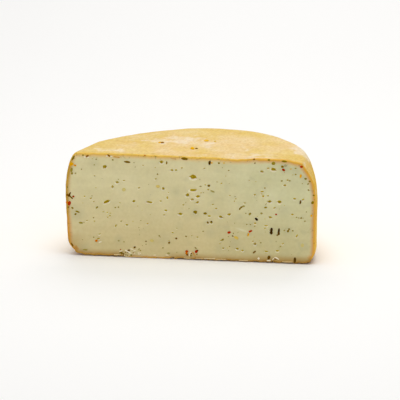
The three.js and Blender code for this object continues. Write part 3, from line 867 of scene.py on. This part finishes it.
def inRind(body, flakes):
    # flakes that show through the rind, all round the side
    rng = np.random.default_rng(flakes["seed"])
    far = wheel["cutLength"]
    placed = []
    for _ in range(flakes["inRind"]):
        angle = rng.uniform(*flakes["rindAngles"]) * math.pi
        outside = (far * math.cos(angle), far * math.sin(angle), rng.uniform(*flakes["rindHeights"]))
        length = rng.uniform(*flakes["rindLength"])
        width = length * rng.uniform(*flakes["rindFlatness"])
        tilt, tint = rng.uniform(-90, 90), rng.uniform(*flakes["rindTint"])
        placed.append((*letDown(body, outside), length, width, flakes["thickness"], tilt, tint))
    return placed


def fineHerbs():
    rng = np.random.default_rng(herbs["seed"])
    acrossField, upField = herbs["field"]
    likely, most = herbs["likely"], herbs["fineTilt"]
    rows = []
    while len(rows) < herbs["fine"]:
        x, z = rng.uniform(*acrossField), rng.uniform(*upField)
        chance = likely["anywhere"] + likely["right"] * smooth(x, herbs["likelyRight"])
        chance += likely["low"] * smooth(z, herbs["likelyLow"])
        if rng.random() < chance:
            length = rng.uniform(*herbs["fineLength"])
            width = length * rng.uniform(*herbs["fineFlatness"])
            tilt, tint = rng.uniform(-most, most), rng.uniform(*herbs["fineTint"])
            rows.append((x, z, length, width, tilt, tint))
    return rows


def crumbRows(body):
    # rows of lumps run into one another along every strip
    length, width = crumbs["lump"]
    rows = []
    for tint, path in crumbs["strips"]:
        for (x0, z0), (x1, z1) in zip(path, path[1:]):
            count = max(1, round(math.hypot(x1 - x0, z1 - z0) / crumbs["step"]))
            tilt = math.degrees(math.atan2(z1 - z0, x1 - x0))
            for i in range(count):
                share = (i + 0.5) / count
                rows.append((x0 + (x1 - x0) * share, z0 + (z1 - z0) * share, length, width, tilt, tint))
    return onCut(body, rows, crumbs["thickness"])


# Materials

def newMaterial(name):
    material = bpy.data.materials.new(name)
    material.use_nodes = True
    tree = material.node_tree
    where = addNode(tree, "ShaderNodeTexCoord").outputs["Object"]
    return material, tree, tree.nodes["Principled BSDF"], where


def setSurface(tree, surface, links, values):
    for socket, source in links.items():
        tree.links.new(next(output for output in source.outputs if output.enabled), surface.inputs[socket])
    for socket, value in values.items():
        surface.inputs[socket].default_value = value


paste = {
    "low": "#E6D6A1",
    "high": "#EEE4B5",
    "heights": (10, 80),  # from the low colour to the high one; the low one is darker and yellower as painted shade and warm bounce light
    "mottling": [  # size along and up, and shade
        ((22, 22), "#F6F6F2"), ((3, 3), "#F9F8F4"), ((60, 6), "#FAF9F6"),
    ],
    "mottleLevels": (0.3, 0.7),  # levels of the noise, from the full shade to none
    "cool": "#F6FDFF",
    "coolOnRight": (-20, 100),
    "drags": [(50.2, 31, 17, 3.4, -16, 0.4)],  # along the cut, height, length, width, tilt, strength
    "dragged": "#F6F2DC",
    "sunk": "#BDB88E",
    "sunkPlaces": [  # herbs that lie just below the cut: along it, height, reach and strength
        (91, 93.5, 10, 0.45), (102, 91, 10, 0.35), (98, 80.5, 9, 0.22), (89.5, 50.5, 10, 0.26),
        (94.5, 31.5, 8, 0.26), (81, 31, 8, 0.25), (60, 36, 7, 0.26), (5.5, 46.5, 9, 0.3),
        (20, 27.5, 8, 0.3), (44, 17.5, 9, 0.38), (29.5, 11, 8, 0.28), (-13, 66, 7, 0.32),
        (-25, 19.5, 10, 0.22), (-69, 17, 7, 0.3), (-110, 41, 14, 0.45), (110, 84, 9, 0.4),
        (-104, 6, 10, 0.35), (-91, 92, 8, 0.2),
    ],
    "sunkSize": 10,
    "sunkLevels": (0.58, 0.74),  # levels of the noise between which a patch grows
    "sunkOnRight": (-60, 90),
    "sunkShare": (0.05, 0.25),  # on the left and on the right
    "stainAndBounce": "#B68A2A",
    "stainsAndBounce": [  # where a golden-brown patch starts and ends along the cut, how it fades upwards, its strength: partly a stain, partly painted warm bounce light
        ((-119, -108), (-58, -66), (9, 2), 0.68), ((-28, -12), (122, 114), (9, 1.5), 0.55),
        ((45, 78), (122, 114), (11, 2), 0.5), ((-98, -116), (-60, -70), (26, 14), 0.4),
    ],
    "rindWander": 7,
    "rindUneven": 0.9,  # in thicknesses of the rind, as are the next two
    "rindFade": (0.9, 3.4),  # where it gives way to the paste
    "rampDepth": 4,  # the ramps run from the outside to this depth
    "gold": [(0.0, "#E6AE28"), (0.2, "#E2A834"), (0.32, "#D9AA66"), (0.9, "#E7D7A6")],
    "olive": [(0.0, "#C29C08"), (0.2, "#CC9C1A"), (0.36, "#D2A856"), (0.9, "#DECE9A")],
    "amber": [(0.0, "#C8920C"), (0.22, "#E0A02A"), (0.42, "#DEA45A"), (0.9, "#E2CC98")],
    "leftStarts": (-98, -116),  # along the cut
    "oliveUp": (36, 44),  # heights between which amber gives way to olive
    "crown": {  # heights where it grows, how its share changes along the cut, and its ramp
        "up": (90, 97), "along": (75, 15), "share": (0.25, 1.0),
        "ramp": [(0.0, "#EBC24C"), (0.2, "#EABF56"), (0.34, "#E9C982"), (0.9, "#EADAA4")],
    },
    # brown rind along the foot, its darkest outer stop a painted shadow line along the base
    "foot": {
        "up": (7, 3), "along": (-30, 50), "share": (0.15, 1.0),
        "ramp": [(0.0, "#7A5220"), (0.2, "#A9803A"), (0.34, "#C9A868"), (0.9, "#DCC898")],
    },
    "rindSpeck": "#8A5A14",
    "rindSpeckSize": 2.3,
    "rindSpeckLevels": (0.6, 0.7),
    "rindSpeckShare": 0.35,
}


def pastePaint():
    # semi-hard goat's milk paste, cut with a knife: a moist, fatty gel that light enters a few millimetres,
    # so it is smooth and pale with soft edges, and golden where it meets the rind; it is painted a little
    # darker and yellower low down as shade and warm bounce light
    material, tree, surface, where = newMaterial("knife-cut goat cheese paste")
    parts = addNode(tree, "ShaderNodeSeparateXYZ", None, {"Vector": where}).outputs
    # painted shade and warm bounce light: darker and yellower low down
    high = addNode(tree, "ShaderNodeMapRange", eased, {"Value": parts["Z"], **between(paste["heights"])})
    tone = addNode(tree, "ShaderNodeMix", colours, {
        0: high, 6: linear(paste["low"]), 7: linear(paste["high"])})
    for (along, up), shade in paste["mottling"]:
        counted = addNode(tree, "ShaderNodeVectorMath", times, {
            0: where, 1: (1 / (along * mm), 1 / (along * mm), 1 / (up * mm))})
        grain = addNode(tree, "ShaderNodeTexNoise", None, {"Vector": counted, "Scale": 1.0, "Detail": 3})
        shading = addNode(
            tree, "ShaderNodeValToRGB", None, {"Fac": grain.outputs["Fac"]},
            list(zip(paste["mottleLevels"], (shade, "#FFFFFF"))))
        tone = addNode(tree, "ShaderNodeMix", multiplied, {0: 1.0, 6: tone, 7: shading})
    cooler = addNode(tree, "ShaderNodeMapRange", eased, {
        "Value": parts["X"], **between(paste["coolOnRight"])})
    tone = addNode(tree, "ShaderNodeMix", multiplied, {0: cooler, 6: tone, 7: linear(paste["cool"])})
    # herbs that lie just below the cut show as soft grey-green patches, mostly on the right
    patches = addNode(tree, "ShaderNodeTexNoise", None, grained(where, paste["sunkSize"], 1))
    least, most = paste["sunkShare"]
    onRight = addNode(tree, "ShaderNodeMapRange", eased, {
        "Value": parts["X"], **between(paste["sunkOnRight"]), "To Min": least, "To Max": most})
    sunk = addNode(tree, "ShaderNodeMapRange", eased, {
        "Value": patches.outputs["Fac"], **between(paste["sunkLevels"], 1), "To Max": onRight})
    for x, height, reach, strength in paste["sunkPlaces"]:
        patch = patchAround(tree, where, inFrame((x, 0, wheel["cutBase"] + height)), reach, strength)
        sunk = addNode(tree, "ShaderNodeMath", {"operation": "MAXIMUM"}, {0: sunk, 1: patch})
    veiled = addNode(tree, "ShaderNodeMix", colours, {0: sunk, 6: tone, 7: linear(paste["sunk"])})
    # where the knife stuck it left a pale smear
    for x, height, length, width, tilt, strength in paste["drags"]:
        smear = addNode(tree, "ShaderNodeMapping", {"vector_type": "TEXTURE"}, {
            "Vector": where, "Location": tuple(inFrame((x, 0, wheel["cutBase"] + height))),
            "Rotation": (0, -math.radians(tilt), 0), "Scale": (length / 2 * mm, length * mm, width / 2 * mm)})
        away = addNode(tree, "ShaderNodeVectorMath", {"operation": "LENGTH"}, {0: smear})
        share = addNode(tree, "ShaderNodeMapRange", eased, {
            "Value": away.outputs["Value"], **between((1, 0), 1), "To Max": strength})
        veiled = addNode(tree, "ShaderNodeMix", colours, {0: share, 6: veiled, 7: linear(paste["dragged"])})
    # the rind's thickness wanders, so its depth is shaken before it picks a colour
    depth = addNode(tree, "ShaderNodeAttribute", {"attribute_name": "rindDepth"})
    wander = addNode(tree, "ShaderNodeTexNoise", None, grained(where, paste["rindWander"], 2))
    shake = addNode(tree, "ShaderNodeMath", timesPlus, {
        0: wander.outputs["Fac"], 1: paste["rindUneven"], 2: -paste["rindUneven"] / 2})
    shaken = addNode(tree, "ShaderNodeMath", plus, {0: depth.outputs["Fac"], 1: shake})
    share = addNode(tree, "ShaderNodeMath", over, {0: shaken, 1: paste["rampDepth"]})
    # gold, on the left amber below olive, lighter along the top and brown along the foot; the darkest brown
    # at the foot's very edge is a painted shadow line where the cheese meets the floor
    gold, olive, amber = [
        addNode(tree, "ShaderNodeValToRGB", None, {"Fac": share}, paste[name])
        for name in ("gold", "olive", "amber")]
    oliveHigh = addNode(tree, "ShaderNodeMapRange", eased, {"Value": parts["Z"], **between(paste["oliveUp"])})
    left = addNode(tree, "ShaderNodeMix", colours, {0: oliveHigh, 6: amber, 7: olive})
    onLeft = addNode(tree, "ShaderNodeMapRange", eased, {"Value": parts["X"], **between(paste["leftStarts"])})
    band = addNode(tree, "ShaderNodeMix", colours, {0: onLeft, 6: gold, 7: left})
    for edge in (paste["crown"], paste["foot"]):
        least, most = edge["share"]
        along = addNode(tree, "ShaderNodeMapRange", eased, {
            "Value": parts["X"], **between(edge["along"]), "To Min": least, "To Max": most})
        near = addNode(tree, "ShaderNodeMapRange", eased, {
            "Value": parts["Z"], **between(edge["up"]), "To Max": along})
        tinted = addNode(tree, "ShaderNodeValToRGB", None, {"Fac": share}, edge["ramp"])
        band = addNode(tree, "ShaderNodeMix", colours, {0: near, 6: band, 7: tinted})
    dirt = addNode(tree, "ShaderNodeTexNoise", None, grained(where, paste["rindSpeckSize"], 2))
    dirty = addNode(tree, "ShaderNodeMapRange", eased, {
        "Value": dirt.outputs["Fac"], **between(paste["rindSpeckLevels"], 1),
        "To Max": paste["rindSpeckShare"]})
    specked = addNode(tree, "ShaderNodeMix", colours, {0: dirty, 6: band, 7: linear(paste["rindSpeck"])})
    inside = addNode(tree, "ShaderNodeMapRange", eased, {"Value": shaken, **between(paste["rindFade"], 1)})
    colour = addNode(tree, "ShaderNodeMix", colours, {0: inside, 6: specked, 7: veiled})
    # the foot of the cut turns golden brown: partly a stain, partly painted warm light bounced up from below
    for begins, ends, up, strength in paste["stainsAndBounce"]:
        stainAndBounce = strength
        for axis, edge in (("X", begins), ("X", ends), ("Z", up)):
            stainAndBounce = addNode(tree, "ShaderNodeMapRange", eased, {
                "Value": parts[axis], **between(edge), "To Max": stainAndBounce})
        colour = addNode(tree, "ShaderNodeMix", colours, {0: stainAndBounce, 6: colour, 7: linear(paste["stainAndBounce"])})
    bump = addNode(tree, "ShaderNodeBump", None, {
        "Height": grain.outputs["Fac"], "Strength": 0.2, "Distance": 0.25 * mm})
    setSurface(tree, surface, {"Base Color": colour, "Normal": bump}, {
        "Roughness": 0.46, "IOR": 1.45, "Subsurface Weight": 0.35, "Subsurface Radius": (1.0, 0.8, 0.45),
        "Subsurface Scale": 3 * mm})
    return material


rindLook = {
    "cloudSize": 20,
    "yellowTop": [(0.3, "#E2C062"), (0.5, "#E6C772"), (0.72, "#E9CF88")],
    "peachTop": [(0.3, "#E8C682"), (0.5, "#EBCD91"), (0.72, "#EED5A2")],
    "peachSize": 45,
    "peachFrom": (-95, -45),  # along the cut: the left stays yellow
    "peachInward": (118, 70),  # and so does the far rim
    "peachLevels": (0.36, 0.6),
    "topFacing": (0.1, 0.75),  # how far up the rind faces where the side gives way to the top
    "underFacing": (-0.3, -0.8),  # and to the base
    "side": [(0.3, "#F2BA22"), (0.55, "#F9CA36"), (0.8, "#FAD45A")],
    "under": "#B5863A",
    "bloomAndHighlight": [  # dried bloom and painted highlight on the shoulders and the top: place from the axis, reach and strength of each patch
        ((-46, 58, 102), 26, 0.22), ((-18, 62, 102), 30, 0.27), ((10, 54, 102), 26, 0.2),
        ((98, 50, 98), 15, 0.5), ((104, 36, 98), 15, 0.6), ((108, 20, 97), 13, 0.42),
        ((109, 3, 97), 10, 0.22), ((-86, 14, 102), 13, 0.28), ((-70, 13, 102), 13, 0.3),
        ((62, 4, 102), 24, 0.24), ((45, 40, 102), 30, 0.1),
    ],
    "bloomAndHighlightColour": "#F3E2C6",
    "bloomAndHighlightSize": 9,
    "bloomAndHighlightFrom": (0.58, 0.86),  # levels between which it grows
    "bloomAndHighlightMost": 0.75,
    "poreSize": 2.2,  # real pores are finer and wouldn't show
    "poreShades": [(0.3, "#EFE6D8"), (0.6, "#FFFFFF")],
}


def rindPaint():
    # a washed natural rind: golden where it is worn smooth, apricot on the top, pale where bloom has dried
    # and where a painted highlight lies on the shoulders and the top
    material, tree, surface, where = newMaterial("golden washed rind")
    cloud = addNode(tree, "ShaderNodeTexNoise", None, grained(where, rindLook["cloudSize"], 5)).outputs["Fac"]
    drift = addNode(tree, "ShaderNodeTexNoise", None, grained(where, rindLook["peachSize"], 2))
    parts = addNode(tree, "ShaderNodeSeparateXYZ", None, {"Vector": where}).outputs
    peachMost = addNode(tree, "ShaderNodeMapRange", eased, {
        "Value": parts["X"], **between(rindLook["peachFrom"])})
    inward = [inFrame((0, depth, 0))[1] for depth in rindLook["peachInward"]]
    peachNear = addNode(tree, "ShaderNodeMapRange", eased, {
        "Value": parts["Y"], **between(inward, 1), "To Max": peachMost})
    peachShare = addNode(tree, "ShaderNodeMapRange", eased, {
        "Value": drift.outputs["Fac"], **between(rindLook["peachLevels"], 1), "To Max": peachNear})
    yellow, peach, side = [
        addNode(tree, "ShaderNodeValToRGB", None, {"Fac": cloud}, rindLook[name])
        for name in ("yellowTop", "peachTop", "side")]
    top = addNode(tree, "ShaderNodeMix", colours, {0: peachShare, 6: yellow, 7: peach})
    # which way the rind faces tells the top from the side and the base
    facing = addNode(tree, "ShaderNodeNewGeometry")
    upward = addNode(tree, "ShaderNodeSeparateXYZ", None, {"Vector": facing.outputs["Normal"]}).outputs["Z"]
    topShare = addNode(tree, "ShaderNodeMapRange", eased, {
        "Value": upward, **between(rindLook["topFacing"], 1)})
    upper = addNode(tree, "ShaderNodeMix", colours, {0: topShare, 6: side, 7: top})
    below = addNode(tree, "ShaderNodeMapRange", eased, {
        "Value": upward, **between(rindLook["underFacing"], 1)})
    colour = addNode(tree, "ShaderNodeMix", colours, {0: below, 6: upper, 7: linear(rindLook["under"])})
    # pale patches: dried bloom, and painted highlight where the shoulders and the top catch the light
    level = addNode(tree, "ShaderNodeTexNoise", None, grained(where, rindLook["bloomAndHighlightSize"], 6)).outputs["Fac"]
    for place, reach, strength in rindLook["bloomAndHighlight"]:
        patch = patchAround(tree, where, inFrame(place), reach, strength)
        level = addNode(tree, "ShaderNodeMath", plus, {0: level, 1: patch})
    bloomAndHighlight = addNode(tree, "ShaderNodeMapRange", eased, {
        "Value": level, **between(rindLook["bloomAndHighlightFrom"], 1), "To Max": rindLook["bloomAndHighlightMost"]})
    bloomedAndHighlighted = addNode(tree, "ShaderNodeMix", colours, {
        0: bloomAndHighlight, 6: colour, 7: linear(rindLook["bloomAndHighlightColour"])})
    pores = addNode(tree, "ShaderNodeTexNoise", None, grained(where, rindLook["poreSize"], 3))
    poreTone = addNode(
        tree, "ShaderNodeValToRGB", None, {"Fac": pores.outputs["Fac"]}, rindLook["poreShades"])
    pored = addNode(tree, "ShaderNodeMix", multiplied, {0: 1.0, 6: bloomedAndHighlighted, 7: poreTone})
    bump = addNode(tree, "ShaderNodeBump", None, {
        "Height": pores.outputs["Fac"], "Strength": 0.4, "Distance": 0.4 * mm})
    setSurface(tree, surface, {"Base Color": pored, "Normal": bump}, {
        "Roughness": 0.6, "IOR": 1.45, "Specular IOR Level": 0.16, "Subsurface Weight": 0.12,
        "Subsurface Radius": (1.0, 0.6, 0.25), "Subsurface Scale": 2 * mm})
    return material


def grainPaint(name, grainSize, stops, values, uneven=None):
    # the colour changes with the grain; a flake or crumb picks it by its own tint, uneven with the grain
    material, tree, surface, where = newMaterial(name)
    level = addNode(tree, "ShaderNodeTexNoise", None, grained(where, grainSize, 2)).outputs["Fac"]
    if uneven:
        tint = addNode(tree, "ShaderNodeAttribute", {"attribute_name": "tint"})
        shake = addNode(tree, "ShaderNodeMath", timesPlus, {0: level, 1: uneven, 2: -uneven / 2})
        level = addNode(tree, "ShaderNodeMath", plus, {0: tint.outputs["Fac"], 1: shake})
    tone = addNode(tree, "ShaderNodeValToRGB", None, {"Fac": level}, stops)
    setSurface(tree, surface, {"Base Color": tone}, {"IOR": 1.45, **values})
    return material


# the wall of an eye: wet, glossy paste, olive gold, partly its own colour and partly a painted warm glow of
# light scattered and bounced inside the hollow
eyeWall = grainPaint("olive eye wall with painted glow", 2.5, [(0.3, "#BAA00A"), (0.7, "#DAC434")], {
    "Roughness": 0.35, "Specular IOR Level": 0.3})
# a small eye's wall is paler, with less of the painted glow
thinWall = grainPaint("small eye wall with fainter painted glow", 1.5, [(0.3, "#BCA22E"), (0.7, "#D0BF62")], {
    "Roughness": 0.4, "Specular IOR Level": 0.3})
# the thin lip of an eye: paste painted paler than the rest as a highlight where it catches the light below
# the eye, and duller
eyeLip = grainPaint("eye lip with painted highlight", 2, [(0.35, "#EFE5BE"), (0.65, "#F8F0D2")], {
    "Roughness": 0.55, "Subsurface Weight": 0.35, "Subsurface Radius": (1.0, 0.8, 0.45),
    "Subsurface Scale": 2 * mm})
# paste torn open at the foot of the cut: it has dried brown and dull
tornPaste = grainPaint("dried torn paste", 2, [(0.35, "#A27A3A"), (0.65, "#C9A462")], {"Roughness": 0.75})
# crumbs of dry rind and paste, torn off by the knife: matt, cream to tan
tornCrumb = grainPaint("torn rind crumb", 2, [(0.0, "#FFF6DC"), (0.5, "#EBD9A8"), (1.0, "#CF9E48")], {
    "Roughness": 0.7, "Specular IOR Level": 0.25}, uneven=0.4)
# dried herb leaf, cut through with the cheese: matt, brown-black to green, faint where paste covers it
herbLeaf = grainPaint("dried herb leaf", 1.2, [
    (0.0, "#301C02"), (0.25, "#7C5608"), (0.5, "#988516"), (0.75, "#B0A04E"), (1.0, "#B6B088")], {
    "Roughness": 0.85, "Specular IOR Level": 0.03}, uneven=0.3)
# flakes of dried sweet pepper: thin leathery skin, brown where it has dried most, red to orange yellow
pepperSkin = grainPaint("dried pepper flake", 1.5, [
    (0.0, "#8E5A06"), (0.14, "#B42600"), (0.3, "#C65004"), (0.5, "#DC8404"), (0.65, "#EEB208"),
    (0.8, "#E6BC3A"), (1.0, "#DACB80")], {
    "Roughness": 0.6, "Specular IOR Level": 0.03}, uneven=0.2)


# Stage, light and camera

studio = {
    "floor": "#FEFDFB",
    "floorSize": 8.0,
    "floorDrop": 0.0001,  # just below the base, so the two don't share a plane
    "sky": "#FFFFFF",
    "skyStrength": 0.42,
    "lamps": [  # name, place in metres, side in metres, watts
        ("overhead", (0.1, -0.2, 1.5), 0.9, 10.8),
        ("front fill", (0.6, -2.2, 1.0), 1.6, 2.5),
        ("floor wash", (0.0, 1.9, 1.7), 2.2, 22.0),
    ],
    "lampsAim": {"floor wash": (0.0, 1.6, 0.0)},  # the others look at the cheese
}
view = {
    "azimuth": 8,  # degrees round from straight in front of the cut
    "elevation": 15,
    "distance": 2000,
    "pixelsPerMm": 1.022,  # of the photograph, at that distance
    "imageSize": 400,
    "target": (3, 50, 46.3),  # seen in the middle of the picture, in mm from the axis
}


def setStage():
    half, low = studio["floorSize"] / 2, -studio["floorDrop"]
    corners = [(-half, -half, low), (half, -half, low), (half, half, low), (-half, half, low)]
    floor = newPiece("floor", corners, [], [(0, 1, 2, 3)])
    # white paper with a matt face, so the floor shows a soft shadow and no reflection
    material, tree, surface, _ = newMaterial("matt white paper")
    setSurface(tree, surface, {}, {"Base Color": linear(studio["floor"]), "Roughness": 0.9})
    floor.data.materials.append(material)

    world = bpy.data.worlds.new("studio")
    world.use_nodes = True
    sky = world.node_tree.nodes["Background"]
    sky.inputs["Color"].default_value = linear(studio["sky"])
    sky.inputs["Strength"].default_value = studio["skyStrength"]
    scene.world = world

    middle = Vector((0, 0, wheel["height"] / 2 * mm))
    for name, place, side, watts in studio["lamps"]:
        lamp = bpy.data.lights.new(name, "AREA")
        lamp.size = side
        lamp.energy = watts
        holder = bpy.data.objects.new(name, lamp)
        holder.location = place
        aim = Vector(studio["lampsAim"].get(name, middle))
        holder.rotation_euler = (aim - Vector(place)).to_track_quat("-Z", "Y").to_euler()
        scene.collection.objects.link(holder)


def setCamera():
    turn, rise = math.radians(view["azimuth"]), math.radians(view["elevation"])
    back = Vector((math.sin(turn) * math.cos(rise), -math.cos(turn) * math.cos(rise), math.sin(rise)))
    lens = bpy.data.cameras.new("photo view")
    lens.sensor_width = 36
    lens.lens = lens.sensor_width * view["pixelsPerMm"] * view["distance"] / view["imageSize"]
    camera = bpy.data.objects.new("photo view", lens)
    camera.location = Vector(inFrame(view["target"])) + back * view["distance"] * mm
    camera.rotation_euler = back.to_track_quat("Z", "Y").to_euler()
    scene.collection.objects.link(camera)
    scene.camera = camera


# Build

scene.view_settings.view_transform = "Standard"
setStage()
setCamera()
print("stage, light and camera set")

cheese, outline = buildHalfWheel(rindPaint(), pastePaint())
print("half wheel turned and cut:", len(cheese.data.polygons), "faces")
openEyes(cheese, eyeWall, thinWall, eyeLip, tornPaste)
storeRindDepth(cheese, outline)
print("eyes opened:", len(cheese.data.polygons), "faces")

herbRows = onCut(cheese, herbs["standOut"], herbs["thickness"]) + inEyes() + onTop(cheese, herbs)
herbFlakes = settle(makeLumps("herb_flakes", herbRows, herbLeaf, 2, herbs["wobble"]))
speckRows = onCut(cheese, fineHerbs(), herbs["thickness"]) + inRind(cheese, herbs)
herbSpecks = settle(makeLumps("herb_specks", speckRows, herbLeaf, 1, herbs["fineWobble"]))
pepperRows = onCut(cheese, pepper["standOut"], pepper["thickness"]) + inRind(cheese, pepper)
pepperRows += onTop(cheese, pepper)
pepperFlakes = settle(makeLumps("pepper_flakes", pepperRows, pepperSkin, 2, pepper["wobble"]))
rindCrumbs = settle(makeLumps("rind_crumbs", crumbRows(cheese), tornCrumb, 2, crumbs["wobble"]))
loose = {"herb": (herbFlakes, herbSpecks), "pepper": (pepperFlakes,), "rind": (rindCrumbs,)}
print("flakes and crumbs:", sum(len(p.data.polygons) for group in loose.values() for p in group), "faces")

for slot, group in {"paste": (cheese,), **loose}.items():
    for piece in group:
        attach(piece, "root")
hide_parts("cheese_half")
